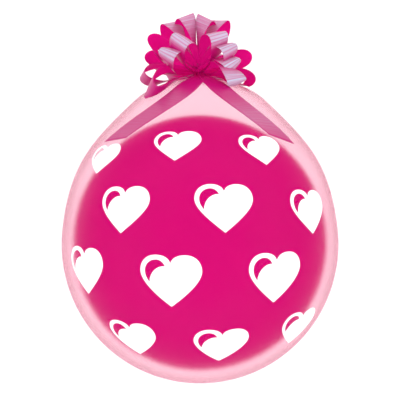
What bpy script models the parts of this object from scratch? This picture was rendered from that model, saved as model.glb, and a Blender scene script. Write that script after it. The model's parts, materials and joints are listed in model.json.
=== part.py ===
"""A clear stuffed balloon with a pulled ribbon bow at its neck, lying on its side.

The balloon's axis lies along +Y with the neck at the +Y end, and +Z is up. The origin is the
centre of the small flat spot that the balloon rests on. All lengths are in metres.
"""

import math

import bmesh
import bpy
from mathutils import Vector
from mathutils.geometry import interpolate_bezier

# Driving dimensions of the balloon
BALLOON_DIAMETER = 0.457
FLAT_SPOT_DIAMETER = 0.090
NECK_RADIUS = 0.0073
NECK_LENGTH = 0.036
LIP_RADIUS = 0.0105
LIP_THICKNESS = 0.005

# Driving dimensions of the bow
RIBBON_WIDTH = 0.034
RIBBON_THICKNESS = 0.0012
LOOP_REACH = 0.094
LOOP_DEPTH = 0.030
LOOP_REST = 0.3
LOOP_START = 0.55
STRAND_SWELL = 0.65 * LOOP_DEPTH
STRAND_GAP = 1.2 * RIBBON_THICKNESS
KNOT_WIDTH = 0.022
COLLAR_HEIGHT = 0.012
COLLAR_WALL = 0.0045
TAIL_SLANT = 0.030

# The ribbon is gathered narrow at the knot, and opens to its full width further out
GATHERED_SHARE = 0.26
LOOP_OPEN_AT = 0.85
TAIL_OPEN_AT = 0.45
TAIL_LIES_AT = 0.2

# A loop's fold is wider at the end that its roll turns up, by this share of its swell
CONE_SHARE = 0.55

# How a knot is squashed, and where the tails leave the upper one, as shares of its width
KNOT_SHAPE = (1.1, 0.85, 0.85)
TAIL_ROOT = Vector((0.14, 0.10, 0.08))

# Gaps that the touching pieces keep
FIT_GAP = 0.0003
RIBBON_LIFT = 0.0010

# Each loop lies this share of the ribbon's thickness higher than the one before it
LIFT_STEP = 0.1

# Facets
ROUND_STEPS = 32
LOOP_STEPS = 10
TAIL_STEPS = 12

# Shape of the balloon's side, as shares of its radius and as slopes in degrees
RADIUS = BALLOON_DIAMETER / 2
BELLY_END_DEG = 7.0
SHOULDER_RADIUS = 0.50 * RADIUS
SHOULDER_ALONG = 1.02 * RADIUS
SHOULDER_SLOPE_DEG = 45.6
NECK_ALONG = 1.21 * RADIUS
NECK_SLOPE_DEG = 3.0

# The flat spot is a shallow slice off the round side, so the axis is a little under a radius up
FLAT_SPOT_DEPTH = RADIUS - math.sqrt(RADIUS**2 - (FLAT_SPOT_DIAMETER / 2) ** 2)
AXIS_HEIGHT = RADIUS - FLAT_SPOT_DEPTH

# The ribbon is gathered in two knots against the collar, above and below the neck
COLLAR_RADIUS = NECK_RADIUS + FIT_GAP + COLLAR_WALL
COLLAR_ALONG = NECK_ALONG + 0.002 + COLLAR_HEIGHT / 2
KNOT_OUT = NECK_RADIUS + FIT_GAP + 0.45 * KNOT_WIDTH
UPPER_KNOT = Vector((-0.004, COLLAR_ALONG + 0.002, KNOT_OUT))
BACK_KNOT = Vector((0.001, COLLAR_ALONG + 0.003, -KNOT_OUT))

# Each loop of the bow, in degrees: its bearing from +X towards +Y, its rise above the floor's
# plane, its roll about its own line and the skew of its fold, then its share of LOOP_REACH
UPPER_LOOPS = [
    (103.5, 6, 22, -14, 1.00),
    (120, -2, 18, 5, 1.04),
    (80.5, 8, -22, 20, 0.95),
    (66, -3, -18, -8, 1.04),
    (144, 70, 85, 0, 1.00),
    (43, 62, 75, 0, 0.98),
    (178, 60, 60, 0, 0.98),
    (12, 57, -70, 0, 0.98),
    (-13, 52, -40, 0, 0.98),
    (-42, 46, -30, 0, 1.15),
    (17, -2, -80, -45, 0.88),
    (-13, 12, -80, -40, 0.97),
    (147, -1, -80, -30, 0.97),
    (164, -8, -80, -30, 0.90),
    (-169, 22, 66, 0, 1.04),
    (-131, 44, 72, 0, 1.4),
]
BACK_LOOPS = [
    (62, -38, 0, 0, 0.94),
    (118, -38, 0, 0, 0.94),
    (24, -40, 60, 0, 0.96),
    (156, -40, -60, 0, 0.96),
    (84, -64, 15, 0, 0.90),
    (4, -55, 75, 0, 0.92),
    (178, -52, -70, 0, 0.92),
]

# The two tails: how far down the skin from the neck, and how far around it from the top in degrees
RIGHT_TAIL = [(0.026, 4), (0.100, 4), (0.160, 27), (0.226, 37)]
LEFT_TAIL = [(0.016, 2), (0.105, 1), (0.160, -22), (0.226, -39)]


def bezier(start, start_pull, end_pull, end, steps):
    """Points of a cubic curve in the plane of the profile, without its first point."""
    handles = [Vector((*p, 0)) for p in (start, start_pull, end_pull, end)]
    points = interpolate_bezier(*handles, steps + 1)[1:]
    return [(p.x, p.y) for p in points]


def along_slope(point, slope_deg, distance):
    """The point that lies a distance further towards the axis, at a slope in degrees."""
    slope = math.radians(slope_deg)
    return (point[0] - distance * math.cos(slope), point[1] + distance * math.sin(slope))


def arc(centre, radius, first_deg, last_deg, steps):
    """Points of a round stretch of the profile, both ends included."""
    angles = [math.radians(first_deg + (last_deg - first_deg) * i / steps) for i in range(steps + 1)]
    return [(centre[0] + radius * math.cos(a), centre[1] + radius * math.sin(a)) for a in angles]


def skin_profile():
    """The balloon's side as (radius, along) points, from the far pole to the neck."""
    belly = arc((0, 0), RADIUS, -90, BELLY_END_DEG, 14)
    belly[0] = (0, -RADIUS)
    shoulder = (SHOULDER_RADIUS, SHOULDER_ALONG)
    neck = (NECK_RADIUS, NECK_ALONG)
    flank_slope = 90 - BELLY_END_DEG
    flank = bezier(
        belly[-1],
        along_slope(belly[-1], flank_slope, 0.43 * RADIUS),
        along_slope(shoulder, SHOULDER_SLOPE_DEG, -0.45 * RADIUS),
        shoulder,
        8,
    )
    crown = bezier(
        shoulder,
        along_slope(shoulder, SHOULDER_SLOPE_DEG, 0.17 * RADIUS),
        along_slope(neck, NECK_SLOPE_DEG, -0.08 * RADIUS),
        neck,
        7,
    )
    return belly + flank + crown


def neck_profile():
    """The tied neck and its rolled lip, from the skin to the middle of the lip's end."""
    lip_along = NECK_ALONG + NECK_LENGTH - LIP_THICKNESS / 2
    lip_middle = (LIP_RADIUS - LIP_THICKNESS / 2, lip_along)
    waist = [(NECK_RADIUS, NECK_ALONG + 0.6 * NECK_LENGTH)]
    lip = arc(lip_middle, LIP_THICKNESS / 2, -60, 110, 5)
    dish = [(0.4 * LIP_RADIUS, lip_along + 0.2 * LIP_THICKNESS), (0, lip_along)]
    return waist + lip + dish


SKIN = skin_profile()
SIDE = SKIN + neck_profile()

# What the loops stay clear of: the skin, and a plain drum round the neck and its lip
DRUM_RADIUS = LIP_RADIUS + 0.006
DRUM_END = NECK_ALONG + NECK_LENGTH + 0.002
OPEN_SKIN = [point for point in SKIN if point[0] > DRUM_RADIUS or point[1] < 0]
KEEP_OUT = OPEN_SKIN + [(DRUM_RADIUS, NECK_ALONG), (DRUM_RADIUS, DRUM_END), (0, DRUM_END)]


def skin_point(run, around_deg, height):
    """A point at a height over the skin, a run down it from the neck, around it from the top."""
    left = run
    for upper, lower in zip(reversed(SKIN), reversed(SKIN[:-1])):
        step = math.dist(upper, lower)
        if left <= step:
            break
        left -= step
    share = left / step
    radius = upper[0] + (lower[0] - upper[0]) * share
    along = upper[1] + (lower[1] - upper[1]) * share
    outward = Vector((upper[1] - lower[1], lower[0] - upper[0])).normalized()
    radius += outward.x * height
    along += outward.y * height
    around = math.radians(around_deg)
    return Vector((radius * math.sin(around), along, radius * math.cos(around)))


def clear_of_skin(point, height):
    """The point itself, or the nearest one that lies a height over the skin, neck or lip."""
    flat = Vector((math.hypot(point.x, point.z), point.y))
    nearest = None
    for low, high in zip(KEEP_OUT, KEEP_OUT[1:]):
        a, b = Vector(low), Vector(high)
        run = b - a
        share = max(0.0, min(1.0, (flat - a).dot(run) / run.length_squared))
        foot = a + run * share
        gap = (flat - foot).length
        if nearest is None or gap < nearest[0]:
            outward = Vector((run.y, -run.x)).normalized()
            nearest = (gap, foot, outward)
    gap, foot, outward = nearest
    over = (flat - foot).dot(outward)
    if over >= height or (over > 0 and gap >= height):
        return point
    moved = foot + outward * height
    scale = moved.x / max(flat.x, 1e-6)
    return Vector((point.x * scale, moved.y, point.z * scale))


def lift_together(strands, lift):
    """Carries the strands of a loop over the skin where they pass each other, then lays them."""
    middle = sum((row[1] for row in strands), Vector()) / len(strands)
    move = clear_of_skin(middle, LOOP_REST * LOOP_DEPTH) - middle
    for number, row in enumerate(strands):
        height = lift + 2 * number * RIBBON_THICKNESS
        row[:] = [clear_of_skin(point + move, height) for point in row]


def smooth_step(share):
    share = max(0.0, min(1.0, share))
    return share * share * (3 - 2 * share)


def half_width(share):
    """Half the ribbon's width, at a share of the way from the knot to where it is fully open."""
    return RIBBON_WIDTH / 2 * (GATHERED_SHARE + (1 - GATHERED_SHARE) * smooth_step(share))


def loop_rows(root, loop, lift):
    """Rows of three points across the ribbon, out along one strand of a loop and back the other."""
    bearing, rise, roll, skew = (math.radians(angle) for angle in loop[:4])
    reach = loop[4] * LOOP_REACH
    out = Vector((math.cos(rise) * math.cos(bearing), math.cos(rise) * math.sin(bearing), math.sin(rise)))
    level = Vector((-math.sin(bearing), math.cos(bearing), 0))
    across = level * math.cos(roll) + out.cross(level) * math.sin(roll)
    open_way = across.cross(out)
    flare = math.copysign(CONE_SHARE, roll) * math.cos(roll) if roll else 0
    across = across * math.cos(skew) + out * math.sin(skew)
    rows = []
    for i in range(LOOP_STEPS + 1):
        turn = LOOP_START + (2 * math.pi - 2 * LOOP_START) * i / LOOP_STEPS
        far = (1 - math.cos(turn)) / 2
        swell = STRAND_SWELL * math.sin(turn) * math.sin(turn / 2)
        apart = STRAND_GAP * math.cos(turn / 2)
        half = half_width(far * far / LOOP_OPEN_AT)
        row = []
        for side in (-1, 0, 1):
            bulge = swell * (1 + flare * side) + apart
            row.append(root + out * (reach * far) + open_way * bulge + across * half * side)
        rows.append(row)
    for i in range(LOOP_STEPS // 2 + 1):
        fold = 2 * i == LOOP_STEPS
        lift_together(rows[i : i + 1] if fold else [rows[i], rows[-1 - i]], lift)
    return rows


def tail_rows(stations, slant_side):
    """Rows of four points across a tail, on the skin all the way, cut off at a slant."""
    handles = [Vector((run, around, 0)) for run, around in stations]
    line = interpolate_bezier(*handles, TAIL_STEPS + 1)
    height = RIBBON_LIFT + RIBBON_THICKNESS / 2
    centres = [skin_point(p.x, p.y, height) for p in line]
    root_way = Vector((-TAIL_ROOT.x * slant_side, -TAIL_ROOT.y, TAIL_ROOT.z * slant_side))
    root = UPPER_KNOT + KNOT_WIDTH * root_way
    for i, centre in enumerate(centres):
        centres[i] = root.lerp(centre, smooth_step(i / TAIL_STEPS / TAIL_LIES_AT))
    rows = []
    for i, centre in enumerate(centres):
        ahead = centres[min(i + 1, TAIL_STEPS)] - centres[max(i - 1, 0)]
        ahead.normalize()
        up = skin_point(line[i].x, line[i].y, height) - skin_point(line[i].x, line[i].y, 0)
        across = ahead.cross(up).normalized()
        share = i / TAIL_STEPS
        half = half_width(share / TAIL_OPEN_AT)
        row = []
        for side in (-1, -1 / 3, 1 / 3, 1):
            slant = TAIL_SLANT / 2 * side * slant_side * share**3
            row.append(clear_of_skin(centre + across * half * side + ahead * slant, height))
        rows.append(row)
    return rows


def clear_scene():
    for item in list(bpy.data.objects):
        bpy.data.objects.remove(item, do_unlink=True)
    for group in list(bpy.data.collections):
        bpy.data.collections.remove(group)


def new_collection(name):
    group = bpy.data.collections.new(name)
    bpy.context.scene.collection.children.link(group)
    return group


def new_material(name, colour, roughness, metallic=0.0, alpha=1.0):
    material = bpy.data.materials.new(name)
    material.use_nodes = True
    shader = material.node_tree.nodes["Principled BSDF"]
    shader.inputs["Base Color"].default_value = (*colour, 1)
    shader.inputs["Roughness"].default_value = roughness
    shader.inputs["Metallic"].default_value = metallic
    shader.inputs["Alpha"].default_value = alpha
    return material


def add_object(name, mesh, group, material=None):
    item = bpy.data.objects.new(name, mesh)
    group.objects.link(item)
    if material:
        mesh.materials.append(material)
    return item


def as_helper(item):
    """Marks an object that only shapes others, so that it isn't a piece itself."""
    item.hide_render = True
    item.display_type = "WIRE"
    return item


def lathe(name, points, group, material=None):
    """Turns a profile of (radius, along) points about the balloon's axis, laid along +Y."""
    mesh = bpy.data.meshes.new(name)
    edges = [(i, i + 1) for i in range(len(points) - 1)]
    mesh.from_pydata([(radius, 0, along) for radius, along in reversed(points)], edges, [])
    item = add_object(name, mesh, group, material)
    screw = item.modifiers.new("Turn", "SCREW")
    screw.axis = "Z"
    screw.steps = ROUND_STEPS
    screw.render_steps = ROUND_STEPS
    screw.use_merge_vertices = True
    screw.merge_threshold = 0.00005
    item.rotation_euler.x = -math.pi / 2
    item.location.z = AXIS_HEIGHT
    return item


def ribbon_surface(name, rows, group):
    """A thin sheet of ribbon through rows of points, given its thickness."""
    sheet = bmesh.new()
    across = len(rows[0]) - 1
    bmesh.ops.create_grid(sheet, x_segments=across, y_segments=len(rows) - 1, size=1)
    sheet.verts.ensure_lookup_table()
    for vert, place in zip(sheet.verts, [point for row in rows for point in row]):
        vert.co = place
    mesh = bpy.data.meshes.new(name)
    sheet.to_mesh(mesh)
    sheet.free()
    item = as_helper(add_object(name, mesh, group))
    wall = item.modifiers.new("Wall", "SOLIDIFY")
    wall.thickness = RIBBON_THICKNESS
    wall.offset = 0
    item.location.z = AXIS_HEIGHT
    return item


def knot(middle, group):
    """A gathered lump of ribbon that the loops come out of."""
    mesh = bpy.data.meshes.new("knot")
    ball = bmesh.new()
    bmesh.ops.create_uvsphere(ball, u_segments=10, v_segments=6, radius=KNOT_WIDTH / 2)
    bmesh.ops.scale(ball, vec=KNOT_SHAPE, verts=ball.verts)
    ball.to_mesh(mesh)
    ball.free()
    item = as_helper(add_object("knot", mesh, group))
    item.location = middle + Vector((0, 0, AXIS_HEIGHT))
    return item


def connected_faces(first):
    """All the faces that can be reached from one face over edges that two faces share."""
    found = {first}
    waiting = [first]
    while waiting:
        for edge in waiting.pop().edges:
            fresh = [face for face in edge.link_faces if edge.is_manifold and face not in found]
            found.update(fresh)
            waiting.extend(fresh)
    return found


def fill_pockets(item):
    """Applies the union, and fills the small pockets that pressed strands close in."""
    depsgraph = bpy.context.evaluated_depsgraph_get()
    joined = bpy.data.meshes.new_from_object(item.evaluated_get(depsgraph))
    item.modifiers.clear()
    item.data = joined
    shell = bmesh.new()
    shell.from_mesh(joined)
    bmesh.ops.triangulate(shell, faces=shell.faces, ngon_method="BEAUTY")
    tip = max(shell.verts, key=lambda vert: vert.co.length)
    outside = connected_faces(tip.link_faces[0])
    pockets = [face for face in shell.faces if face not in outside]
    bmesh.ops.delete(shell, geom=pockets, context="FACES")
    shell.to_mesh(joined)
    shell.free()


def build_balloon(parts, helpers):
    """The clear outer balloon, solid here because it is sealed, with its flat resting spot."""
    clear = new_material("clear latex", (0.96, 0.78, 0.85), 0.08, alpha=0.35)
    balloon = lathe("balloon", SIDE, parts, clear)
    bpy.ops.mesh.primitive_cube_add(size=1)
    floor = bpy.context.object
    floor.name = "flat spot cutter"
    for group in list(floor.users_collection):
        group.objects.unlink(floor)
    helpers.objects.link(floor)
    floor.scale = (BALLOON_DIAMETER, BALLOON_DIAMETER, RADIUS)
    floor.location.z = -RADIUS / 2
    as_helper(floor)
    cut = balloon.modifiers.new("Flat spot", "BOOLEAN")
    cut.operation = "DIFFERENCE"
    cut.object = floor


def build_bow(parts, ribbons):
    """The pulled bow: one ribbon, gathered in a knot and a collar round the neck, with two tails."""
    satin = new_material("magenta satin ribbon", (0.73, 0.015, 0.19), 0.35)
    low = COLLAR_ALONG - COLLAR_HEIGHT / 2
    high = COLLAR_ALONG + COLLAR_HEIGHT / 2
    bore = NECK_RADIUS + FIT_GAP
    rim = [(bore, low), (COLLAR_RADIUS, low), (COLLAR_RADIUS, high), (bore, high), (bore, low)]
    bow = lathe("pull_bow", rim, parts, satin)

    for middle, loops in ((UPPER_KNOT, UPPER_LOOPS), (BACK_KNOT, BACK_LOOPS)):
        knot(middle, ribbons)
        for number, loop in enumerate(loops, 1):
            lift = RIBBON_LIFT + RIBBON_THICKNESS * (1 + LIFT_STEP * number)
            ribbon_surface(f"loop {number}", loop_rows(middle, loop, lift), ribbons)
    ribbon_surface("right tail", tail_rows(RIGHT_TAIL, -1), ribbons)
    ribbon_surface("left tail", tail_rows(LEFT_TAIL, 1), ribbons)

    join = bow.modifiers.new("Ribbon", "BOOLEAN")
    join.operation = "UNION"
    join.operand_type = "COLLECTION"
    join.collection = ribbons
    fill_pockets(bow)


def main():
    clear_scene()
    parts = new_collection("clear bubble balloon")
    helpers = new_collection("cutters")
    ribbons = new_collection("ribbon lengths")
    build_balloon(parts, helpers)
    build_bow(parts, ribbons)


main()
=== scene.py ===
# %% [markdown]
# # A clear stuffed balloon with a pull bow
#
# A stuffed party balloon is a clear latex skin with a coloured balloon sealed inside it, white
# hearts printed on the outside, and a satin pull bow round its tied neck. Loose, it lies on its
# side. This lesson dresses its plain CAD model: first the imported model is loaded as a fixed
# frame, which also gives the box that the finished object has to stay in.

import json
import math

import bmesh
import bpy
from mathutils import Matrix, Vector
from mathutils.geometry import interpolate_bezier

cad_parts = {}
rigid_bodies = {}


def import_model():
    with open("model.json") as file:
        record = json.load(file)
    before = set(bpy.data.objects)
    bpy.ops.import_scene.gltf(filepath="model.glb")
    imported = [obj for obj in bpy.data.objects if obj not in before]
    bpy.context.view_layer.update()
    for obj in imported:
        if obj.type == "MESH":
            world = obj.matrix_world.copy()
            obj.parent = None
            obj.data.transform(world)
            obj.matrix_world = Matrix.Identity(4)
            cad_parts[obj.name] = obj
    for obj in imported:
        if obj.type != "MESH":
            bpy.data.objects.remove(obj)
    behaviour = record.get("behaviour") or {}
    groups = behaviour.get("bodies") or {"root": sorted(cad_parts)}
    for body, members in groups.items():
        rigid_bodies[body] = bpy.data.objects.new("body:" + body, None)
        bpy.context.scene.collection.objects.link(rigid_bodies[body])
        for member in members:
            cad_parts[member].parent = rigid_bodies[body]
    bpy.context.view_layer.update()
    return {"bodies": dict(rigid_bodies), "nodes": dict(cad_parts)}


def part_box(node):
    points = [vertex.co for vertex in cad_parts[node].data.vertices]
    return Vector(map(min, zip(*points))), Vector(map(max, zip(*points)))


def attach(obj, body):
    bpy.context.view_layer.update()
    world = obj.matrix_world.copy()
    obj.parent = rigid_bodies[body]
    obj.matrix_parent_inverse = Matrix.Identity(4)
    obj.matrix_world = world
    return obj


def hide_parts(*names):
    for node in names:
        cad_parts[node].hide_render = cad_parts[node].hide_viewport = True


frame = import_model()
skin_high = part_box("balloon")[1]
print("CAD nodes:", ", ".join(sorted(frame["nodes"])))

# %% [markdown]
# The sizes are the real ones, in metres. A clear stuffing balloon is sold as 18 inch, and pull-bow
# ribbon is a little over 30 mm wide. The height of the balloon's axis is read from the frame.

# %% Named sizes
RADIUS = 0.457 / 2
AXIS_HEIGHT = skin_high.z - RADIUS
CENTRE = Vector((0, 0, AXIS_HEIGHT))
NECK_RADIUS = 0.0073
NECK_LENGTH = 0.036
NECK_ALONG = 1.21 * RADIUS
LIP_RADIUS = 0.0105
LIP_THICKNESS = 0.005
RIBBON_WIDTH = 0.034
RIBBON_THICKNESS = 0.0004
print(f"the axis lies {AXIS_HEIGHT * 1000:.1f} mm over the floor")

# %% [markdown]
# Node trees are long to write out socket by socket. One small function adds a node of any kind,
# gives it its settings, and fills its sockets: a socket that is given another node's output is
# linked to it, and any other value is typed in. Others turn the hex colours that people write
# down into the linear numbers that Blender reckons with, and stand for the sums and the mixes of
# two colours that come back in every tree.

# %% Helpers for nodes and colours
def add_node(tree, kind, fill=(), **settings):
    """Adds a node, with its settings and what goes into its sockets, by name or by number."""
    node = tree.nodes.new(kind)
    for name, value in settings.items():
        setattr(node, name, value)
    for socket, source in dict(fill).items():
        if isinstance(source, bpy.types.NodeSocket):
            tree.links.new(source, node.inputs[socket])
        else:
            node.inputs[socket].default_value = source
    return node


def maths(tree, operation, *values):
    """The outcome of one sum with numbers."""
    return add_node(tree, "ShaderNodeMath", enumerate(values), operation=operation).outputs[0]


def vector_maths(tree, operation, *values):
    """The outcome of one sum with vectors."""
    return add_node(tree, "ShaderNodeVectorMath", enumerate(values), operation=operation).outputs[0]


def linear(hex_colour):
    """The linear colour that an sRGB hex value stands for."""
    shares = [int(hex_colour[i : i + 2], 16) / 255 for i in (1, 3, 5)]
    return [s / 12.92 if s <= 0.04045 else ((s + 0.055) / 1.055) ** 2.4 for s in shares] + [1]


def mixed(tree, share, first, second):
    """A colour that lies a share of the way from one colour to another."""
    return add_node(tree, "ShaderNodeMix", {0: share, 6: first, 7: second}, data_type="RGBA").outputs[2]


def mottle(tree, size, dark, light):
    """Clouds of a real size in metres, and the colour that they mix from two near hues."""
    place = add_node(tree, "ShaderNodeTexCoord")
    clouds = add_node(tree, "ShaderNodeTexNoise", {"Vector": place.outputs["Object"], "Scale": 1 / size})
    return clouds.outputs["Fac"], mixed(tree, clouds.outputs["Fac"], linear(dark), linear(light))


def new_material(name):
    """A material with an empty tree but for its output, and that output node."""
    material = bpy.data.materials.new(name)
    material.use_nodes = True
    material.node_tree.nodes.clear()
    return material, material.node_tree, material.node_tree.nodes.new("ShaderNodeOutputMaterial")


# %% [markdown]
# ## The camera
#
# The photograph looks at the balloon square on from its side. The balloon lies on that side here,
# so the camera looks straight down. It hangs a little off the balloon's middle towards the neck,
# and close enough that the far half is a little smaller than the near one.

# %% The camera
CAMERA_HEIGHT = 3.0 * RADIUS
CAMERA_ALONG = 0.301 * RADIUS
FOCAL_SHARE = 391.7 / 400

camera_data = bpy.data.cameras.new("camera")
camera_data.sensor_width = 36
camera_data.lens = FOCAL_SHARE * camera_data.sensor_width
camera = bpy.data.objects.new("camera", camera_data)
camera.location = CENTRE + Vector((0, CAMERA_ALONG, CAMERA_HEIGHT))
bpy.context.scene.collection.objects.link(camera)
bpy.context.scene.camera = camera
print("camera at", [round(c, 3) for c in camera.location])

# %% [markdown]
# ## The floor and the light
#
# A pale floor and a soft white sky, as in a light tent. The sky is brightest in a ring at half its
# height: that ring adds a real gloss to the satin, on top of the highlight bands painted over its
# folds, while overhead the sky is plain, so that no mirror image of a lamp falls on the middle of
# the balloon and its colour stays flat and clean.

# %% The floor and the light
FLOOR_SIZE = 8
# How bright the sky is at shares of its height, from the floor to overhead
SKY_BY_HEIGHT = [(0.0, 1.0), (0.25, 1.1), (0.5, 1.9), (0.65, 1.9), (0.85, 1.2), (1.0, 1.1)]
BRIGHTEST = max(strength for _, strength in SKY_BY_HEIGHT)

floor_mesh = bpy.data.meshes.new("floor")
floor_shape = bmesh.new()
bmesh.ops.create_grid(floor_shape, x_segments=1, y_segments=1, size=FLOOR_SIZE / 2)
floor_shape.to_mesh(floor_mesh)
floor_shape.free()
floor = bpy.data.objects.new("floor", floor_mesh)
bpy.context.scene.collection.objects.link(floor)

# Gives the eye a plain white ground without a mirror image
paper, tree, output = new_material("matt white paper roll")
shader = add_node(tree, "ShaderNodeBsdfPrincipled", {"Base Color": linear("#FDFDFD"), "Roughness": 0.9})
tree.links.new(shader.outputs["BSDF"], output.inputs["Surface"])
floor_mesh.materials.append(paper)

sky = bpy.data.worlds.new("even studio sky")
sky.use_nodes = True
tree = sky.node_tree
tree.nodes.clear()
way = add_node(tree, "ShaderNodeTexCoord")
height = add_node(tree, "ShaderNodeSeparateXYZ", {0: way.outputs["Generated"]})
ring = add_node(tree, "ShaderNodeFloatCurve", {"Value": height.outputs["Z"]})
points = ring.mapping.curves[0].points
lowest, *middle, highest = [(place, strength / BRIGHTEST) for place, strength in SKY_BY_HEIGHT]
points[0].location = lowest
points[-1].location = highest
for spot in middle:
    points.new(*spot)
ring.mapping.update()
light = maths(tree, "MULTIPLY", ring.outputs[0], BRIGHTEST)
glow = add_node(tree, "ShaderNodeBackground", {"Color": (1, 1, 1, 1), "Strength": light})
output = add_node(tree, "ShaderNodeOutputWorld", {"Surface": glow.outputs[0]})
bpy.context.scene.world = sky
bpy.context.scene.view_settings.view_transform = "Standard"
print("the sky is brightest at", BRIGHTEST)

# %% [markdown]
# ## The side of the balloon
#
# An inflated balloon is round about its axis, so its whole shape is one curve: the radius at each
# place along the axis. The belly is part of a circle. Two Bezier stretches carry it over the
# shoulder and into the neck, where the latex is pulled together under the bow.

# %% The balloon's side as a curve
def bezier(start, start_pull, end_pull, end, steps):
    """Points of a cubic curve in the plane of the profile, without its first point."""
    handles = [Vector((*p, 0)) for p in (start, start_pull, end_pull, end)]
    return [(p.x, p.y) for p in interpolate_bezier(*handles, steps + 1)[1:]]


def along_slope(point, slope_deg, distance):
    """The point that lies a distance further towards the axis, at a slope in degrees."""
    slope = math.radians(slope_deg)
    return (point[0] - distance * math.cos(slope), point[1] + distance * math.sin(slope))


def arc(centre, radius, first_deg, last_deg, steps):
    """Points of a round stretch, both ends included."""
    angles = [math.radians(first_deg + (last_deg - first_deg) * i / steps) for i in range(steps + 1)]
    return [(centre[0] + radius * math.cos(a), centre[1] + radius * math.sin(a)) for a in angles]


BELLY_END_DEG = 7.0
SHOULDER = (0.50 * RADIUS, 1.02 * RADIUS)
SHOULDER_SLOPE_DEG = 45.6
NECK = (NECK_RADIUS, NECK_ALONG)
NECK_SLOPE_DEG = 3.0
FLANK_PULLS = (0.43 * RADIUS, 0.45 * RADIUS)
CROWN_PULLS = (0.17 * RADIUS, 0.08 * RADIUS)
BELLY_STEPS = 64
FLANK_STEPS = 36
CROWN_STEPS = 28
LIP_STEPS = 12

belly = arc((0, 0), RADIUS, -90, BELLY_END_DEG, BELLY_STEPS)
belly[0] = (0, -RADIUS)
flank = bezier(
    belly[-1],
    along_slope(belly[-1], 90 - BELLY_END_DEG, FLANK_PULLS[0]),
    along_slope(SHOULDER, SHOULDER_SLOPE_DEG, -FLANK_PULLS[1]),
    SHOULDER,
    FLANK_STEPS,
)
crown = bezier(
    SHOULDER,
    along_slope(SHOULDER, SHOULDER_SLOPE_DEG, CROWN_PULLS[0]),
    along_slope(NECK, NECK_SLOPE_DEG, -CROWN_PULLS[1]),
    NECK,
    CROWN_STEPS,
)
skin_curve = belly + flank + crown

lip_along = NECK_ALONG + NECK_LENGTH - LIP_THICKNESS / 2
waist = [(NECK_RADIUS, NECK_ALONG + NECK_LENGTH * share) for share in (0.2, 0.4, 0.6)]
lip = arc((LIP_RADIUS - LIP_THICKNESS / 2, lip_along), LIP_THICKNESS / 2, -60, 110, LIP_STEPS)
dish = [(0.4 * LIP_RADIUS, lip_along + 0.2 * LIP_THICKNESS), (0, lip_along)]
side_curve = skin_curve + waist + lip + dish
print(len(side_curve), "points from the far pole to the lip")

# %% [markdown]
# ## Turning the side into a skin with Geometry Nodes
#
# A Screw modifier would turn the curve too. Geometry Nodes are used because two more things
# happen to the same skin: it goes flat where it rests on the floor, and it gathers into pleats at
# the tied neck. The start is a line of points on the axis that carries each place's radius as an
# attribute. Curve to Mesh sweeps a unit circle along it at that scale, and the points that fall
# together at the two ends are merged, so that the ends are closed.

# %% A node tree with named inputs
def geometry_tree(name, inputs):
    """A Geometry Nodes tree with named inputs, and its two ends."""
    tree = bpy.data.node_groups.new(name, "GeometryNodeTree")
    tree.interface.new_socket("Geometry", in_out="INPUT", socket_type="NodeSocketGeometry")
    for label, kind in inputs.items():
        tree.interface.new_socket(label, in_out="INPUT", socket_type=kind)
    tree.interface.new_socket("Geometry", in_out="OUTPUT", socket_type="NodeSocketGeometry")
    return tree, add_node(tree, "NodeGroupInput"), add_node(tree, "NodeGroupOutput")


def run_tree(item, tree, values):
    """Runs a tree on an object with these inputs, and keeps what it made as a plain mesh."""
    modifier = item.modifiers.new(tree.name, "NODES")
    modifier.node_group = tree
    for socket in tree.interface.items_tree:
        if socket.item_type == "SOCKET" and socket.name in values:
            modifier[socket.identifier] = values[socket.name]
    depsgraph = bpy.context.evaluated_depsgraph_get()
    made = bpy.data.meshes.new_from_object(item.evaluated_get(depsgraph), depsgraph=depsgraph)
    item.modifiers.clear()
    item.data = made
    return item


def dress(tree, geometry, material, end):
    """Shades the geometry smooth, makes it real, gives it its material and sends it out."""
    smooth = add_node(tree, "GeometryNodeSetShadeSmooth", {"Geometry": geometry, "Shade Smooth": True})
    plain = add_node(tree, "GeometryNodeRealizeInstances", {"Geometry": smooth.outputs[0]})
    fill = {"Geometry": plain.outputs[0], "Material": material}
    dressed = add_node(tree, "GeometryNodeSetMaterial", fill)
    tree.links.new(dressed.outputs[0], end.inputs["Geometry"])


def new_object(name, mesh):
    """An object of this mesh, in the scene."""
    item = bpy.data.objects.new(name, mesh)
    bpy.context.scene.collection.objects.link(item)
    return item


def axis_line(name, curve):
    """A line of points on the axis, each with the radius that the curve has there as "girth"."""
    mesh = bpy.data.meshes.new(name)
    edges = [(i, i + 1) for i in range(len(curve) - 1)]
    mesh.from_pydata([(0, along, 0) for _, along in curve], edges, [])
    girth = mesh.attributes.new("girth", "FLOAT", "POINT")
    girth.data.foreach_set("value", [radius for radius, _ in curve])
    return new_object(name, mesh)


# %% The tree that turns the side
turned, start, end = geometry_tree(
    "turned balloon skin",
    {
        "Steps round": "NodeSocketInt",
        "Tilt": "NodeSocketFloat",
        "Middle height": "NodeSocketFloat",
        "Floor": "NodeSocketFloat",
        "Pleats": "NodeSocketFloat",
        "Pleat depth": "NodeSocketFloat",
        "Pleats from": "NodeSocketFloat",
        "Pleats deepest": "NodeSocketFloat",
        "Latex": "NodeSocketMaterial",
    },
)
girth = add_node(turned, "GeometryNodeInputNamedAttribute", {"Name": "girth"}, data_type="FLOAT")
line = add_node(turned, "GeometryNodeMeshToCurve", {"Mesh": start.outputs["Geometry"]})
ring = add_node(
    turned,
    "GeometryNodeCurvePrimitiveCircle",
    {"Resolution": start.outputs["Steps round"], "Radius": 1},
)
swept = add_node(
    turned,
    "GeometryNodeCurveToMesh",
    {
        "Curve": line.outputs[0],
        "Profile Curve": ring.outputs[0],
        "Scale": girth.outputs["Attribute"],
    },
)
closed = add_node(
    turned,
    "GeometryNodeMergeByDistance",
    {"Geometry": swept.outputs[0], "Distance": 0.00002},
)

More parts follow.
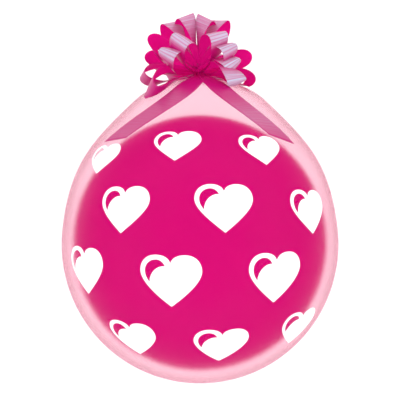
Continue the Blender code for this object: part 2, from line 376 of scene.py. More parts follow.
# How deep the pleats are at each place along the axis, and where round it a point lies
place = add_node(turned, "GeometryNodeInputPosition")
parts = add_node(turned, "ShaderNodeSeparateXYZ", {0: place.outputs[0]})
depth = add_node(
    turned,
    "ShaderNodeMapRange",
    {
        "Value": parts.outputs["Y"],
        "From Min": start.outputs["Pleats from"],
        "From Max": start.outputs["Pleats deepest"],
        "To Min": 0,
        "To Max": start.outputs["Pleat depth"],
    },
    interpolation_type="SMOOTHSTEP",
)
round_angle = maths(turned, "ARCTAN2", parts.outputs["X"], parts.outputs["Z"])
wave = maths(turned, "SINE", maths(turned, "MULTIPLY", round_angle, start.outputs["Pleats"]))
push = maths(turned, "MULTIPLY", maths(turned, "ADD", wave, -1), depth.outputs["Result"])
spoke = add_node(turned, "ShaderNodeCombineXYZ", {"X": parts.outputs["X"], "Z": parts.outputs["Z"]})
spoke_way = vector_maths(turned, "NORMALIZE", spoke.outputs[0])
pushed = add_node(turned, "ShaderNodeVectorMath", {0: spoke_way, "Scale": push}, operation="SCALE")
pleated = add_node(
    turned,
    "GeometryNodeSetPosition",
    {"Geometry": closed.outputs[0], "Offset": pushed.outputs[0]},
)

# Tilted, lifted to its middle's height, and pressed flat on the floor
tilt = add_node(turned, "ShaderNodeCombineXYZ", {"X": start.outputs["Tilt"]})
tilt_way = add_node(turned, "FunctionNodeEulerToRotation", {0: tilt.outputs[0]})
lift = add_node(turned, "ShaderNodeCombineXYZ", {"Z": start.outputs["Middle height"]})
lifted = add_node(
    turned,
    "GeometryNodeTransform",
    {
        "Geometry": pleated.outputs[0],
        "Translation": lift.outputs[0],
        "Rotation": tilt_way.outputs[0],
    },
)
where = add_node(turned, "GeometryNodeInputPosition").outputs[0]
lowest = add_node(turned, "ShaderNodeCombineXYZ", {"X": -9, "Y": -9, "Z": start.outputs["Floor"]})
over_floor = vector_maths(turned, "MAXIMUM", where, lowest.outputs[0])
pressed = add_node(
    turned,
    "GeometryNodeSetPosition",
    {"Geometry": lifted.outputs[0], "Position": over_floor},
)
dress(turned, pressed.outputs[0], start.outputs["Latex"], end)
print(len(turned.nodes), "nodes turn the skin")

# %% [markdown]
# ## Clear latex
#
# The outer skin is clear balloon latex, dipped on a smooth former. It lets nearly all light through
# and tints it faintly pink. It isn't as clear as glass: the film is slightly hazy, so what lies well
# behind it looks soft, while what touches it stays sharp. That haze comes from the roughness of the
# glass-like shader, and every value stands plainly on its sockets. Its wall is modelled thicker than
# the stretched film is, so the tint inside the wall is set to that thickness.

# %% Clear latex
# Gives the eye a pale pink film that deepens where it is seen along its wall, and a soft view through
clear_latex, tree, output = new_material("clear balloon latex")
shader = add_node(
    tree,
    "ShaderNodeBsdfPrincipled",
    {
        "Base Color": (1, 1, 1, 1),
        "Roughness": 0.22,
        "IOR": 1.09,
        "Transmission Weight": 1.0,
        "Sheen Weight": 0.5,
        "Sheen Roughness": 0.2,
        "Sheen Tint": linear("#FF4F9A"),
    },
)
tint = add_node(tree, "ShaderNodeVolumeAbsorption", {"Color": linear("#F7319C"), "Density": 330})
tree.links.new(shader.outputs["BSDF"], output.inputs["Surface"])
tree.links.new(tint.outputs["Volume"], output.inputs["Volume"])

ROUND_STEPS = 160
SKIN_WALL = 0.0004
FLOOR_GAP = 0.0003

skin = run_tree(
    axis_line("clear_skin", side_curve),
    turned,
    {
        "Steps round": ROUND_STEPS,
        "Tilt": 0.0,
        "Middle height": AXIS_HEIGHT,
        "Floor": FLOOR_GAP,
        "Pleats": 18.0,
        "Pleat depth": 0.0006,
        "Pleats from": 1.10 * RADIUS,
        "Pleats deepest": NECK_ALONG - 0.002,
        "Latex": clear_latex,
    },
)
print("clear skin:", len(skin.data.polygons), "faces")

# %% [markdown]
# ## The balloon inside
#
# A second balloon, of opaque magenta latex, was blown up inside the clear one. It is smaller by a
# finger's width all round, and its weight lets it settle on the floor side. It is turned by the
# same tree: a round body that draws out into a short neck and a knot, which ends up underneath.
# Its latex is left without gloss, because the haze of the skin in front hides any.

# %% The inner balloon
INNER_RADIUS = 0.936 * RADIUS
INNER_TILT_DEG = -35
INNER_REST = 0.0015
INNER_END_DEG = 74
INNER_STEPS = 110
INNER_NECK_RADIUS = 0.004
INNER_NECK_STEPS = 24
KNOT_BALL = 0.0065
KNOT_BALL_STEPS = 12

inner_body = arc((0, 0), INNER_RADIUS, -90, INNER_END_DEG, INNER_STEPS)
inner_body[0] = (0, -INNER_RADIUS)
draw = bezier(
    inner_body[-1],
    along_slope(inner_body[-1], 90 - INNER_END_DEG, 0.10 * INNER_RADIUS),
    (1.5 * INNER_NECK_RADIUS, 0.985 * INNER_RADIUS),
    (INNER_NECK_RADIUS, INNER_RADIUS),
    INNER_NECK_STEPS,
)
knot_ball = arc((0, INNER_RADIUS + INNER_NECK_RADIUS), KNOT_BALL, -45, 90, KNOT_BALL_STEPS)
inner_curve = inner_body + draw + knot_ball[:-1] + [(0, knot_ball[-1][1])]

# Gives the eye a flat deep magenta, with very faint clouds where the dipped latex is thicker
LATEX_CLOUD = 0.030
inner_latex, tree, output = new_material("magenta balloon latex")
clouds, colour = mottle(tree, LATEX_CLOUD, "#C10570", "#C70572")
relief = add_node(tree, "ShaderNodeBump", {"Height": clouds, "Strength": 0.1, "Distance": 0.0003})
shader = add_node(
    tree,
    "ShaderNodeBsdfPrincipled",
    {"Base Color": colour, "Roughness": 0.45, "Specular IOR Level": 0.0, "Normal": relief.outputs[0]},
)
tree.links.new(shader.outputs["BSDF"], output.inputs["Surface"])

inner = run_tree(
    axis_line("inner_balloon", inner_curve),
    turned,
    {
        "Steps round": ROUND_STEPS,
        "Tilt": math.radians(INNER_TILT_DEG),
        "Middle height": INNER_REST + INNER_RADIUS,
        "Floor": INNER_REST,
        "Pleats": 14.0,
        "Pleat depth": 0.0004,
        "Pleats from": 0.96 * INNER_RADIUS,
        "Pleats deepest": 0.99 * INNER_RADIUS,
        "Latex": inner_latex,
    },
)
print("inner balloon:", len(inner.data.polygons), "faces")

# %% [markdown]
# ## A heart, flat
#
# The hearts are screen printed in opaque white on the outside of the skin. Each has a sickle left
# bare inside its left lobe, as a highlight. One heart is drawn flat from Bezier stretches, filled
# between the two outlines, and then cut along a grid, so that it has enough points to bend over
# the round skin.

# %% One flat heart
HEART_WIDTH = 0.071
HEART_TALL = 0.873
HEART_STEPS = 14
SICKLE_STEPS = 9
GRID = 0.009


def closed_outline(stretches, steps):
    """A closed line of Bezier stretches, each from the last one's end."""
    line = []
    for first, second in zip(stretches, stretches[1:] + stretches[:1]):
        line += bezier(first[0], first[1], first[2], second[0], steps)
    return line


# Corners and their two handles, as shares of the heart's width, with the tip at the bottom
half_heart = [
    ((0.0, HEART_TALL - 0.14), (0.02, HEART_TALL - 0.05), (0.11, HEART_TALL)),
    ((0.235, HEART_TALL), (0.40, HEART_TALL), (0.50, 0.76)),
    ((0.50, 0.61), (0.50, 0.42), (0.20, 0.17)),
]
tip_back = [
    ((0.0, 0.0), (-0.20, 0.17), (-0.50, 0.42)),
    ((-0.50, 0.61), (-0.50, 0.76), (-0.40, HEART_TALL)),
    ((-0.235, HEART_TALL), (-0.11, HEART_TALL), (-0.02, HEART_TALL - 0.05)),
]
heart_outline = closed_outline(half_heart + tip_back, HEART_STEPS)
sickle_outline = closed_outline(
    [
        ((-0.345, 0.418), (-0.395, 0.48), (-0.42, 0.54)),
        ((-0.42, 0.61), (-0.42, 0.71), (-0.34, 0.795)),
        ((-0.235, 0.795), (-0.165, 0.795), (-0.11, 0.75)),
        ((-0.086, 0.686), (-0.20, 0.70), (-0.335, 0.60)),
    ],
    SICKLE_STEPS,
)


def flat_print(name, outlines, width, grid):
    """Fills flat outlines, holes left open, and cuts the result along a square grid."""
    shape = bmesh.new()
    for outline in outlines:
        corners = [shape.verts.new((x * width, (y - HEART_TALL / 2) * width, 0)) for x, y in outline]
        for a, b in zip(corners, corners[1:] + corners[:1]):
            shape.edges.new((a, b))
    bmesh.ops.triangle_fill(
        shape,
        use_beauty=True,
        use_dissolve=False,
        edges=shape.edges,
        normal=(0, 0, 1),
    )
    half_steps = math.ceil(width / grid / 2)
    for axis in (Vector((1, 0, 0)), Vector((0, 1, 0))):
        for i in range(-half_steps, half_steps + 1):
            bmesh.ops.bisect_plane(
                shape,
                geom=shape.verts[:] + shape.edges[:] + shape.faces[:],
                plane_co=axis * (i * grid),
                plane_no=axis,
            )
    mesh = bpy.data.meshes.new(name)
    shape.to_mesh(mesh)
    shape.free()
    return new_object(name, mesh)


hearts = flat_print("printed_hearts", [heart_outline, sickle_outline], HEART_WIDTH, GRID)
print("one heart:", len(hearts.data.polygons), "faces")

# %% [markdown]
# ## Hearts all round the skin
#
# The print repeats by a rule. Three screens print the balloon all round before it is blown up,
# each with four rows of three hearts, and every other row is moved on by half a step. Blowing it
# up stretches the latex most at its widest, so the hearts grow smaller towards both ends, and the
# outer rows bow a little away from the neck and the pole. Geometry Nodes work out each heart's
# direction and size from its number, set it upright there, and then throw every one of its points
# onto the skin along a ray from the balloon's middle, a hair's breadth over the latex.

# %% The tree's inputs
printed, start, end = geometry_tree(
    "hearts printed on the skin",
    {
        "Skin": "NodeSocketObject",
        "Middle": "NodeSocketVector",
        "Radius": "NodeSocketFloat",
        "Rows": "NodeSocketInt",
        "Screens": "NodeSocketInt",
        "Hearts": "NodeSocketInt",
        "First heart": "NodeSocketFloat",
        "Heart step": "NodeSocketFloat",
        "Row shift": "NodeSocketFloat",
        "First row": "NodeSocketFloat",
        "Row step": "NodeSocketFloat",
        "Step growth": "NodeSocketFloat",
        "Row bow": "NodeSocketFloat",
        "Widest at": "NodeSocketFloat",
        "Full size": "NodeSocketVector",
        "Size loss": "NodeSocketVector",
        "Ink thickness": "NodeSocketFloat",
        "Ink": "NodeSocketMaterial",
    },
)
sizes = start.outputs

# %% Which row, screen and heart a number stands for
number = add_node(printed, "GeometryNodeInputIndex").outputs[0]
in_row = maths(printed, "MULTIPLY", sizes["Screens"], sizes["Hearts"])
row = maths(printed, "FLOOR", maths(printed, "DIVIDE", number, in_row))
rest = maths(printed, "MODULO", number, in_row)
screen = maths(printed, "FLOOR", maths(printed, "DIVIDE", rest, sizes["Hearts"]))
heart = maths(printed, "MODULO", rest, sizes["Hearts"])
odd_row = maths(printed, "MODULO", row, 2)
total = maths(printed, "MULTIPLY", sizes["Rows"], in_row)

# %% How far round and how far up the heart lies
first = maths(printed, "MULTIPLY_ADD", odd_row, sizes["Row shift"], sizes["First heart"])
swing = maths(printed, "MULTIPLY_ADD", heart, sizes["Heart step"], first)
screen_step = maths(printed, "DIVIDE", math.tau, sizes["Screens"])
turn_on = maths(printed, "MULTIPLY_ADD", screen, screen_step, swing)
step = maths(printed, "MULTIPLY_ADD", row, sizes["Step growth"], sizes["Row step"])
level = maths(printed, "SUBTRACT", sizes["First row"], maths(printed, "MULTIPLY", step, row))
swing_square = maths(printed, "MULTIPLY", swing, swing)
lean = maths(printed, "MULTIPLY", maths(printed, "SINE", level), swing_square)
bow_down = maths(printed, "MULTIPLY", lean, sizes["Row bow"])
rise = maths(printed, "SUBTRACT", level, bow_down)

# %% From angles to a direction, a spot and a turn
out_part = maths(printed, "COSINE", rise)
side = maths(printed, "MULTIPLY", maths(printed, "SINE", turn_on), out_part)
top = maths(printed, "MULTIPLY", maths(printed, "COSINE", turn_on), out_part)
sides = {"X": side, "Y": maths(printed, "SINE", rise), "Z": top}
way = add_node(printed, "ShaderNodeCombineXYZ", sides).outputs[0]
spot = vector_maths(printed, "MULTIPLY_ADD", way, sizes["Radius"], sizes["Middle"])
upright = add_node(
    printed,
    "FunctionNodeAxesToRotation",
    {"Primary Axis": way, "Secondary Axis": (0, 1, 0)},
    primary_axis="Z",
    secondary_axis="Y",
)

# %% How big the heart is, and its copies
from_widest = maths(printed, "SUBTRACT", level, sizes["Widest at"])
off_square = maths(printed, "MULTIPLY", from_widest, from_widest)
heart_size = vector_maths(printed, "MULTIPLY_ADD", off_square, sizes["Size loss"], sizes["Full size"])
spots = add_node(printed, "GeometryNodePoints", {"Count": total, "Position": spot})
copies = add_node(
    printed,
    "GeometryNodeInstanceOnPoints",
    {
        "Points": spots.outputs[0],
        "Instance": sizes["Geometry"],
        "Rotation": upright.outputs[0],
        "Scale": heart_size,
    },
)
real = add_node(printed, "GeometryNodeRealizeInstances", {"Geometry": copies.outputs[0]})

# %% Every point thrown onto the skin
here = add_node(printed, "GeometryNodeInputPosition").outputs[0]
ray_way = vector_maths(printed, "NORMALIZE", vector_maths(printed, "SUBTRACT", here, sizes["Middle"]))
target = add_node(printed, "GeometryNodeObjectInfo", {"Object": sizes["Skin"]})
ray = add_node(
    printed,
    "GeometryNodeRaycast",
    {
        "Target Geometry": target.outputs["Geometry"],
        "Source Position": sizes["Middle"],
        "Ray Direction": ray_way,
        "Ray Length": 1,
    },
)
hit = ray.outputs["Hit Position"]
on_skin = vector_maths(printed, "MULTIPLY_ADD", ray_way, sizes["Ink thickness"], hit)
laid = add_node(
    printed,
    "GeometryNodeSetPosition",
    {"Geometry": real.outputs[0], "Position": on_skin},
)
dress(printed, laid.outputs[0], sizes["Ink"], end)
print(len(printed.nodes), "nodes print the hearts")

# %% [markdown]
# The ink is an opaque white screen-print ink, matt and a little rubbery, so that it stretches with
# the latex. It is so thin that light still comes through to the inner balloon, so the hearts
# throw no shadow on it.

# %% White ink, and the printing
# Gives the eye an even opaque white, with the faint mottle that a screen leaves
INK_GRAIN = 0.004
white_ink, tree, output = new_material("white screen-print ink")
grain, colour = mottle(tree, INK_GRAIN, "#F8F6F7", "#FFFFFF")
dull = add_node(tree, "ShaderNodeMapRange", {"Value": grain, "To Min": 0.4, "To Max": 0.6})
fill = {"Base Color": colour, "Roughness": dull.outputs[0]}
shader = add_node(tree, "ShaderNodeBsdfPrincipled", fill)
tree.links.new(shader.outputs["BSDF"], output.inputs["Surface"])

run_tree(
    hearts,
    printed,
    {
        "Skin": skin,
        "Middle": CENTRE,
        "Radius": RADIUS,
        "Rows": 4,
        "Screens": 3,
        "Hearts": 3,
        "First heart": math.radians(-41.8),
        "Heart step": math.radians(33.0),
        "Row shift": math.radians(16.4),
        "First row": math.radians(35.6),
        "Row step": math.radians(19.95),
        "Step growth": math.radians(0.66),
        "Row bow": 0.2,
        "Widest at": math.radians(-6),
        "Full size": (1.07, 1.03, 1.0),
        "Size loss": (-0.44, -0.58, 0.0),
        "Ink thickness": 0.00015,
        "Ink": white_ink,
    },
)
hearts.visible_shadow = False
hearts.visible_diffuse = False
hearts.visible_transmission = False
print("all hearts:", len(hearts.data.polygons), "faces")

# %% [markdown]
# Now that the hearts have found the skin, the skin gets its wall, inwards, so that it stays the
# size of the CAD balloon. Light bends the right way only in clear material that has a wall.

# %% The wall of the skin
wall = skin.modifiers.new("wall", "SOLIDIFY")
wall.thickness = SKIN_WALL
wall.offset = -1

# %% [markdown]
# ## The pull bow
#
# A pull bow is one long satin ribbon, folded into loops by pulling it together along its middle
# threads. Each loop leaves the knot gathered narrow, opens to the ribbon's full width, and folds
# over at its far end. The loops lean on each other and on the balloon, so each point of a loop is
# kept a little over the skin. Ribbon is flat cloth bent along one line after another, so it is
# made row by row in code, each row a line across the ribbon.

# %% Staying clear of the skin and the neck
FIT_GAP = 0.0003
RIBBON_LIFT = 0.0010
RIBBON_SPACE = 0.0012
LOOP_REACH = 0.094
LOOP_DEPTH = 0.030
LOOP_REST = 0.3
STRAND_SWELL = 0.65 * LOOP_DEPTH
STRAND_GAP = 1.2 * RIBBON_SPACE
KNOT_WIDTH = 0.022
COLLAR_HEIGHT = 0.012
COLLAR_WALL = 0.0045
DRUM_RADIUS = LIP_RADIUS + 0.006
DRUM_END = NECK_ALONG + NECK_LENGTH + 0.002

COLLAR_RADIUS = NECK_RADIUS + FIT_GAP + COLLAR_WALL
COLLAR_ALONG = NECK_ALONG + 0.002 + COLLAR_HEIGHT / 2
KNOT_OUT = NECK_RADIUS + FIT_GAP + 0.45 * KNOT_WIDTH
UPPER_KNOT = Vector((-0.004, COLLAR_ALONG + 0.002, KNOT_OUT))
BACK_KNOT = Vector((0.001, COLLAR_ALONG + 0.003, -KNOT_OUT))

coarse_skin = skin_curve[::3] + [skin_curve[-1]]
open_skin = [point for point in coarse_skin if point[0] > DRUM_RADIUS or point[1] < 0]
keep_out = open_skin + [(DRUM_RADIUS, NECK_ALONG), (DRUM_RADIUS, DRUM_END), (0, DRUM_END)]
keep_out = [Vector(point) for point in keep_out if point[1] > 0.3 * RADIUS]


def clear_of_skin(point, height):
    """The point itself, or the nearest one that lies a height over the skin, neck or lip."""
    flat = Vector((math.hypot(point.x, point.z), point.y))
    nearest = None
    for a, b in zip(keep_out, keep_out[1:]):
        run = b - a
        share = max(0.0, min(1.0, (flat - a).dot(run) / run.length_squared))
        foot = a + run * share
        gap = (flat - foot).length
        if nearest is None or gap < nearest[0]:
            nearest = (gap, foot, Vector((run.y, -run.x)).normalized())
    gap, foot, outward = nearest
    over = (flat - foot).dot(outward)
    if over >= height or (over > 0 and gap >= height):
        return point
    moved = foot + outward * height
    scale = moved.x / max(flat.x, 1e-6)
    return Vector((point.x * scale, moved.y, point.z * scale))


def lift_together(strands, lift):
    """Carries the strands of a loop over the skin where they pass each other, then lays them."""
    middle = sum((row[len(row) // 2] for row in strands), Vector()) / len(strands)
    move = clear_of_skin(middle, LOOP_REST * LOOP_DEPTH) - middle
    for number, row in enumerate(strands):
        height = lift + 2 * number * RIBBON_SPACE
        row[:] = [clear_of_skin(point + move, height) for point in row]


def smooth_step(share):
    """A share from nought to one that starts and ends gently."""
    share = max(0.0, min(1.0, share))
    return share * share * (3 - 2 * share)


print("the bow is tied", round(UPPER_KNOT.y * 1000), "mm from the balloon's middle")

# %% [markdown]
# Every loop has its own direction, roll and size. Which way the loops fell is chance, so these
# numbers are read loop by loop, and not made by a rule.

# %% The loops' directions
# Bearing from +X towards +Y, rise over the floor's plane, roll and skew, all in degrees, then the
# loop's size and how strong the painted highlight over its fold is, as shares of a full one
UPPER_LOOPS = [
    (103.5, 6, 22, -14, 1.00, 0.55),
    (120, -2, 18, 5, 1.04, 0.5),
    (80.5, 8, -22, 20, 0.95, 0.5),
    (66, -3, -18, -8, 1.04, 0.5),
    (144, 70, 85, 0, 1.00, 1.0),
    (43, 62, 75, 0, 0.98, 1.0),
    (178, 60, 60, 0, 0.98, 1.0),
    (12, 57, -70, 0, 0.98, 1.0),
    (-13, 52, -40, 0, 0.98, 1.0),
    (-42, 46, -30, 0, 1.15, 1.0),
    (17, -2, -80, -45, 0.88, 1.0),
    (-13, 12, -80, -40, 0.97, 1.0),
    (147, -1, -80, -30, 0.97, 0.9),
    (164, -8, -80, -30, 0.90, 0.5),
    (-169, 22, 90, 0, 1.04, 0.06),
    (-131, 44, 92, 0, 1.4, 0.04),
]
BACK_LOOPS = [
    (62, -38, 0, 0, 0.94, 0.8),
    (118, -38, 0, 0, 0.94, 0.8),
    (24, -40, 60, 0, 0.96, 0.6),
    (156, -40, -60, 0, 0.96, 0.6),
    (84, -64, 15, 0, 0.90, 0.8),
    (4, -55, 75, 0, 0.92, 0.8),
    (178, -52, -70, 0, 0.92, 0.8),
]
print(len(UPPER_LOOPS) + len(BACK_LOOPS), "loops")

# %% One loop
LOOP_ROWS = 45
ACROSS = [i / 6 - 1 for i in range(13)]
LOOP_START = 0.36
GATHERED_SHARE = 0.30
LOOP_OPEN_AT = 0.85
PLEAT_DEPTH = 0.0022
PLEATS = 2.5
PLEATS_END_AT = 0.5
CUP = 0.0012
CONE = 0.55
LIFT_STEP = 0.1


def half_width(share):
    """Half the ribbon's width, at a share of the way from the knot to where it is fully open."""
    return RIBBON_WIDTH / 2 * (GATHERED_SHARE + (1 - GATHERED_SHARE) * smooth_step(share))


def loop_rows(root, loop, lift):
    """Rows of points across the ribbon, out along one strand of a loop and back the other."""
    bearing, rise, roll, skew = (math.radians(angle) for angle in loop[:4])
    reach = loop[4] * LOOP_REACH
    level_share = math.cos(rise)
    out = Vector((level_share * math.cos(bearing), level_share * math.sin(bearing), math.sin(rise)))
    level = Vector((-math.sin(bearing), math.cos(bearing), 0))
    across = level * math.cos(roll) + out.cross(level) * math.sin(roll)
    open_way = across.cross(out)
    flare = math.copysign(CONE, roll) * math.cos(roll) if roll else 0
    across = across * math.cos(skew) + out * math.sin(skew)
    rows = []
    for i in range(LOOP_ROWS):
        turn = LOOP_START + (math.tau - 2 * LOOP_START) * i / (LOOP_ROWS - 1)
        far = (1 - math.cos(turn)) / 2
        bulge = STRAND_SWELL * math.sin(turn) * math.sin(turn / 2)
        bulge += STRAND_GAP * math.cos(turn / 2)
        centre = root + out * (reach * far) + open_way * bulge
        pleat = PLEAT_DEPTH * (1 - smooth_step(far / PLEATS_END_AT))
        row = []
        for side in ACROSS:
            fold = pleat * math.cos(math.pi * PLEATS * side) - CUP * side * side * math.sin(turn)
            fold += bulge * flare * side
            wide = half_width(far * far / LOOP_OPEN_AT)
            row.append(centre + across * wide * side + open_way * fold)
        rows.append(row)
    for i in range((LOOP_ROWS + 1) // 2):
        fold_row = 2 * i == LOOP_ROWS - 1
        lift_together(rows[i : i + 1] if fold_row else [rows[i], rows[-1 - i]], lift)
    return rows


# %% The two tails
# How far down the skin from the neck, and how far around it from the top in degrees
RIGHT_TAIL = [(0.026, 4), (0.100, 4), (0.160, 27), (0.226, 37)]
LEFT_TAIL = [(0.016, 2), (0.105, 1), (0.160, -22), (0.226, -39)]
TAIL_ROWS = 49
TAIL_SLANT = 0.030
TAIL_ROOT = Vector((0.14, 0.10, 0.08))
TAIL_OPEN_AT = 0.45
TAIL_LIES_AT = 0.2
TAIL_PLEATS_END_AT = 0.4


def skin_point(run, around_deg, height):
    """A point at a height over the skin, a run down it from the neck, around it from the top."""
    left = run
    for upper, lower in zip(reversed(skin_curve), reversed(skin_curve[:-1])):
        step = math.dist(upper, lower)
        if left <= step:
            break
        left -= step
    upper, lower = Vector(upper), Vector(lower)
    spot = upper.lerp(lower, left / step)
    spot += Vector((upper.y - lower.y, lower.x - upper.x)).normalized() * height
    around = math.radians(around_deg)
    return Vector((spot.x * math.sin(around), spot.y, spot.x * math.cos(around)))


def tail_rows(stations, slant_side):
    """Rows of points across a tail, which lies on the skin and is cut off at a slant."""
    handles = [Vector((run, around, 0)) for run, around in stations]
    line = interpolate_bezier(*handles, TAIL_ROWS)
    height = RIBBON_LIFT
    centres = [skin_point(p.x, p.y, height) for p in line]
    off_root = Vector((-TAIL_ROOT.x * slant_side, -TAIL_ROOT.y, TAIL_ROOT.z * slant_side))
    root = UPPER_KNOT + KNOT_WIDTH * off_root
    for i, centre in enumerate(centres):
        centres[i] = root.lerp(centre, smooth_step(i / (TAIL_ROWS - 1) / TAIL_LIES_AT))
    rows = []
    for i, centre in enumerate(centres):
        ahead = (centres[min(i + 1, TAIL_ROWS - 1)] - centres[max(i - 1, 0)]).normalized()
        run, around, _ = line[i]
        up = (skin_point(run, around, height) - skin_point(run, around, 0)).normalized()
        across = ahead.cross(up).normalized()
        share = i / (TAIL_ROWS - 1)
        half = half_width(share / TAIL_OPEN_AT)
        pleat = PLEAT_DEPTH * (1 - smooth_step(share / TAIL_PLEATS_END_AT))
        row = []
        for side in ACROSS:
            slant = TAIL_SLANT / 2 * side * slant_side * share**3
            fold = pleat * (1 + math.cos(math.pi * PLEATS * side))
            spot = centre + across * half * side + ahead * slant + up * fold
            row.append(clear_of_skin(spot, height))
        rows.append(row)
    return rows


# %% Where the ribbon gets its painted highlight
# Middle and reach of the painted highlight band: over a loop's fold, over the top of one that lies flat,
# on a tail
FOLD_HIGHLIGHT_BAND = (1.03, 0.26)
FLAT_HIGHLIGHT_BAND = (1.28, 0.40)
RIGHT_TAIL_HIGHLIGHT_BAND = (0.80, 0.26)
RIGHT_TAIL_PAINTED_SHINE = 0.26
LEFT_TAIL_PAINTED_SHINE = 0.11
LEFT_TAIL_HIGHLIGHT_FROM = 0.45
LEFT_TAIL_HIGHLIGHT_RISE = 0.12


def band(place, middle, reach):
    """One in the middle of a band, and falling smoothly to nought at its two edges."""
    return smooth_step(1 - abs(place - middle) / reach)


def fold_painted_shine(loop):
    """How strong the painted highlight is on each row of a loop: most where it folds over, or over its
    top if it lies flat.
    """
    flat = math.cos(math.radians(loop[1])) ** 4 * math.cos(math.radians(loop[2]))
    middle, reach = (fold + (level - fold) * flat for fold, level in zip(FOLD_HIGHLIGHT_BAND, FLAT_HIGHLIGHT_BAND))
    return [loop[5] * band(2 * i / (LOOP_ROWS - 1), middle, reach) for i in range(LOOP_ROWS)]


tail_places = [i / (TAIL_ROWS - 1) for i in range(TAIL_ROWS)]
right_tail_painted_shine = [RIGHT_TAIL_PAINTED_SHINE * band(place, *RIGHT_TAIL_HIGHLIGHT_BAND) for place in tail_places]
left_tail_painted_shine = [
    LEFT_TAIL_PAINTED_SHINE * smooth_step((place - LEFT_TAIL_HIGHLIGHT_FROM) / LEFT_TAIL_HIGHLIGHT_RISE)
    for place in tail_places
]

# %% All loops and tails
strips = []
for middle, loops in ((UPPER_KNOT, UPPER_LOOPS), (BACK_KNOT, BACK_LOOPS)):
    for number, loop in enumerate(loops, 1):
        rows = loop_rows(middle, loop, RIBBON_LIFT + RIBBON_SPACE * (1 + LIFT_STEP * number))
        strips.append((rows, fold_painted_shine(loop)))
strips.append((tail_rows(RIGHT_TAIL, -1), right_tail_painted_shine))
strips.append((tail_rows(LEFT_TAIL, 1), left_tail_painted_shine))
print(len(strips), "lengths of ribbon")

# %% [markdown]
# The collar is the same ribbon, wound round the neck and pulled narrow, with its pleats standing
# across it. Then all lengths go into one mesh, because they are one ribbon. Each face also gets
# its place along and across the ribbon as a UV map, in metres, for the weave to follow.

# %% The collar, and one mesh of it all
COLLAR_TURNS = 1.9
COLLAR_ROWS = 90
COLLAR_SINK = 0.0015
COLLAR_CLIMB = 0.0012
COLLAR_CREASE = 0.0006
COLLAR_CREASES = 4


def collar_rows():
    """Rows of a ribbon wound round the neck, pulled narrow."""
    rows = []
    for i in range(COLLAR_ROWS):
        share = i / (COLLAR_ROWS - 1)
        around = math.tau * COLLAR_TURNS * share
        radius = COLLAR_RADIUS - COLLAR_SINK + COLLAR_CLIMB * share
        row = []
        for side in ACROSS:
            crease = COLLAR_CREASE * math.cos(math.pi * COLLAR_CREASES * side)
            spot = Vector((math.sin(around), 0, math.cos(around))) * (radius + crease)
            row.append(spot + Vector((0, COLLAR_ALONG + COLLAR_HEIGHT / 2 * side, 0)))
        rows.append(row)
    return rows


strips.append((collar_rows(), [0] * COLLAR_ROWS))


def ribbon_mesh(name, strips):
    """All lengths of ribbon as one mesh, with their place along and across the ribbon as UV."""
    shape = bmesh.new()
    place = shape.loops.layers.uv.new("ribbon")
    # Each point keeps how strong the painted highlight is there, for the satin's colour
    painted_shine = shape.verts.layers.float.new("painted_shine")
    for rows, row_painted_shines in strips:
        run = 0.0
        previous = None
        for row, row_painted_shine in zip(rows, row_painted_shines):
            verts = [shape.verts.new(point + CENTRE) for point in row]
            for vert in verts:
                vert[painted_shine] = row_painted_shine
            if previous:
                middle = len(row) // 2
                step = (verts[middle].co - previous[middle].co).length
                for i in range(len(row) - 1):
                    corners = (previous[i], previous[i + 1], verts[i + 1], verts[i])
                    face = shape.faces.new(corners)
                    face.smooth = True
                    places = ((i, 0), (i + 1, 0), (i + 1, step), (i, step))
                    for corner, (over, along) in zip(face.loops, places):
                        corner[place].uv = (RIBBON_WIDTH * over / (len(row) - 1), run + along)
                run += step
            previous = verts
    mesh = bpy.data.meshes.new(name)
    area = sum(face.calc_area() for face in shape.faces)
    shape.to_mesh(mesh)
    shape.free()
    return mesh, area


bow_mesh, ribbon_area = ribbon_mesh("ribbon_bow", strips)
bow = new_object("ribbon_bow", bow_mesh)
thickness = bow.modifiers.new("ribbon thickness", "SOLIDIFY")
thickness.thickness = RIBBON_THICKNESS
thickness.offset = 0
print(f"ribbon area {ribbon_area:.4f} square metres")

# %% [markdown]
# ## Satin ribbon
#
# The ribbon is magenta polyester satin. Its long floats lie along the ribbon, so it shines in a
# broad band across each fold, greyish lilac at the brightest, and looks deep where it turns away.
# Here that band is a painted highlight, mixed into the colour over each fold.
# Real threads are about a tenth of a millimetre and would not show, so they are drawn coarser.

# %% Satin ribbon
# How often the threads and the streaks of the painted highlight change in a metre, across and along
# the ribbon. The threads are drawn about four times coarser than real ones
THREADS = (2200, 60, 1)
HIGHLIGHT_STREAKS = (6, 420, 1)
THREAD_RELIEF = 0.0003


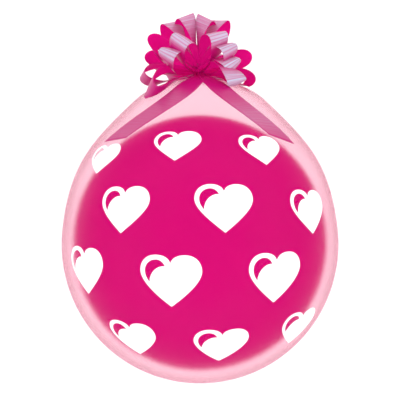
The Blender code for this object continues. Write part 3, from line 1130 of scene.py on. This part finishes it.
def ribbon_cloth(name, dark, light, see_through, gloss, painted_highlight=None):
    """Woven ribbon in two near hues, with its threads along it, and a painted highlight where it is
    bent.
    """
    cloth, tree, output = new_material(name)
    place = add_node(tree, "ShaderNodeUVMap", uv_map="ribbon")
    stretch = add_node(tree, "ShaderNodeMapping", {"Vector": place.outputs[0], "Scale": THREADS})
    fill = {"Vector": stretch.outputs[0], "Scale": 1, "Detail": 2}
    threads = add_node(tree, "ShaderNodeTexNoise", fill).outputs["Fac"]
    colour = mixed(tree, threads, linear(dark), linear(light))
    # Painted highlight: a streaky silvery lilac mixed into the colour, as strong as each point's shine
    # value says
    if painted_highlight:
        highlight_mask = add_node(tree, "ShaderNodeAttribute", attribute_name="painted_shine")
        across = add_node(tree, "ShaderNodeMapping", {"Vector": place.outputs[0], "Scale": HIGHLIGHT_STREAKS})
        fill = {"Vector": across.outputs[0], "Scale": 1, "Detail": 1}
        highlight_streaks = add_node(tree, "ShaderNodeTexNoise", fill)
        fill = {"Value": highlight_streaks.outputs["Fac"], "From Min": 0.36, "From Max": 0.64, "To Min": 0.4}
        spread = add_node(tree, "ShaderNodeMapRange", fill)
        highlight_share = maths(tree, "MULTIPLY", spread.outputs[0], highlight_mask.outputs["Fac"])
        colour = mixed(tree, highlight_share, colour, linear(painted_highlight))
    fill = {"Height": threads, "Strength": 0.15, "Distance": THREAD_RELIEF}
    relief = add_node(tree, "ShaderNodeBump", fill).outputs[0]
    fill = {"Base Color": colour, "Normal": relief, **gloss}
    shader = add_node(tree, "ShaderNodeBsdfPrincipled", fill)
    glow = add_node(tree, "ShaderNodeBsdfTranslucent", {"Color": colour, "Normal": relief})
    fill = {0: see_through, 1: shader.outputs["BSDF"], 2: glow.outputs[0]}
    both = add_node(tree, "ShaderNodeMixShader", fill)
    tree.links.new(both.outputs[0], output.inputs["Surface"])
    return cloth


SATIN_GLOSS = {"Roughness": 0.3, "IOR": 1.5, "Specular Tint": linear("#EBDCF5")}
BACK_GLOSS = {"Roughness": 0.6, "IOR": 1.45, "Specular IOR Level": 0.1}

# Gives the eye deep magenta, with a painted highlight of streaky silvery lilac where the ribbon folds
# over
satin = ribbon_cloth(
    "magenta polyester satin, right side",
    dark="#B8086E",
    light="#CC0E7C",
    see_through=0.3,
    gloss=SATIN_GLOSS,
    painted_highlight="#C6CFE4",
)
# Gives the eye the bright, flat magenta inside each loop: the back of the same satin, its colour painted
# lighter to lift the shade inside the loops
satin_back = ribbon_cloth(
    "magenta polyester satin, back",
    dark="#DA087E",
    light="#EA0E8A",
    see_through=0.5,
    gloss=BACK_GLOSS,
)
bow.data.materials.append(satin)
bow.data.materials.append(satin_back)
thickness.material_offset = 1

# %% [markdown]
# ## The knot
#
# Where the loops meet, the pulled ribbon bunches up in a small firm lump. It shows only between
# the loops, so a creased ball of the same satin stands for it, on both sides of the neck.

# %% The knots
KNOT_SEGMENTS = 48
KNOT_RADIUS = 0.42 * KNOT_WIDTH
KNOT_SHAPE = Vector((1.1, 0.85, 0.85))
CREASES = 9
CREASE_DEPTH = 0.09

knots_mesh = bpy.data.meshes.new("bow_knot")
lump = bmesh.new()
for middle in (UPPER_KNOT, BACK_KNOT):
    made = bmesh.ops.create_uvsphere(
        lump,
        u_segments=KNOT_SEGMENTS,
        v_segments=KNOT_SEGMENTS // 2,
        radius=KNOT_RADIUS,
    )
    for vert in made["verts"]:
        around = math.atan2(vert.co.y, vert.co.x)
        crease = CREASE_DEPTH * math.sin(CREASES * around)
        vert.co *= 1 + crease * (1 - abs(vert.co.z) / KNOT_WIDTH)
        vert.co = vert.co * KNOT_SHAPE + middle + CENTRE
for face in lump.faces:
    face.smooth = True
lump.to_mesh(knots_mesh)
lump.free()
knots = new_object("bow_knot", knots_mesh)
knots_mesh.materials.append(satin)
print("knots:", len(knots_mesh.polygons), "faces")

# %% [markdown]
# ## Fixing the pieces to the body
#
# Every piece rides on the one body of the part, and the two CAD nodes that they stand for are
# hidden.

# %% Fix the pieces to the body
# The hazy skin would smear the bow's colour over the balloon's pale shoulder, so rays that have
# gone through the skin don't see the bow
bow.visible_transmission = False
knots.visible_transmission = False
for piece in (skin, inner, hearts, bow, knots):
    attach(piece, "root" if "root" in frame["bodies"] else sorted(frame["bodies"])[0])
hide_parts("balloon")
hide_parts("pull_bow")
